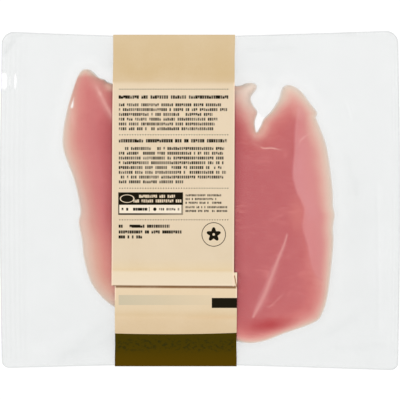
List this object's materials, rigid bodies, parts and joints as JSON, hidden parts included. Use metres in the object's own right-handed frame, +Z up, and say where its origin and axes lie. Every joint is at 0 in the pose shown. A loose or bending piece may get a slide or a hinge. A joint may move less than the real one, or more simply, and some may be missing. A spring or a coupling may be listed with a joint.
{
  "type": "packed raw turkey breast fillets",
  "caption": "Flat clear sealed pack of raw turkey breast fillets, lying face down, with a paper sleeve wrapped once round its middle and lapped at the back.",
  "frame": {"origin": "on the table, under the middle of the pack's outline", "axes": "+X along the pack's long side, +Y along the fillets and the sleeve towards their thin tips, +Z up, out of the side that shows the sleeve's lap"},
  "size_m": [0.26, 0.22, 0.0195],
  "materials": {
    "flesh": "raw pink poultry flesh, wet, paler and creamy at the edges",
    "film": "clear sealed film, smooth and glossy, slightly milky where two webs lie together",
    "paper": "uncoated buff card with plain dark print and an olive band along one edge"
  },
  "bodies": {
    "root": {"pack": "flesh", "sleeve": "paper"}
  },
  "joints": []
}
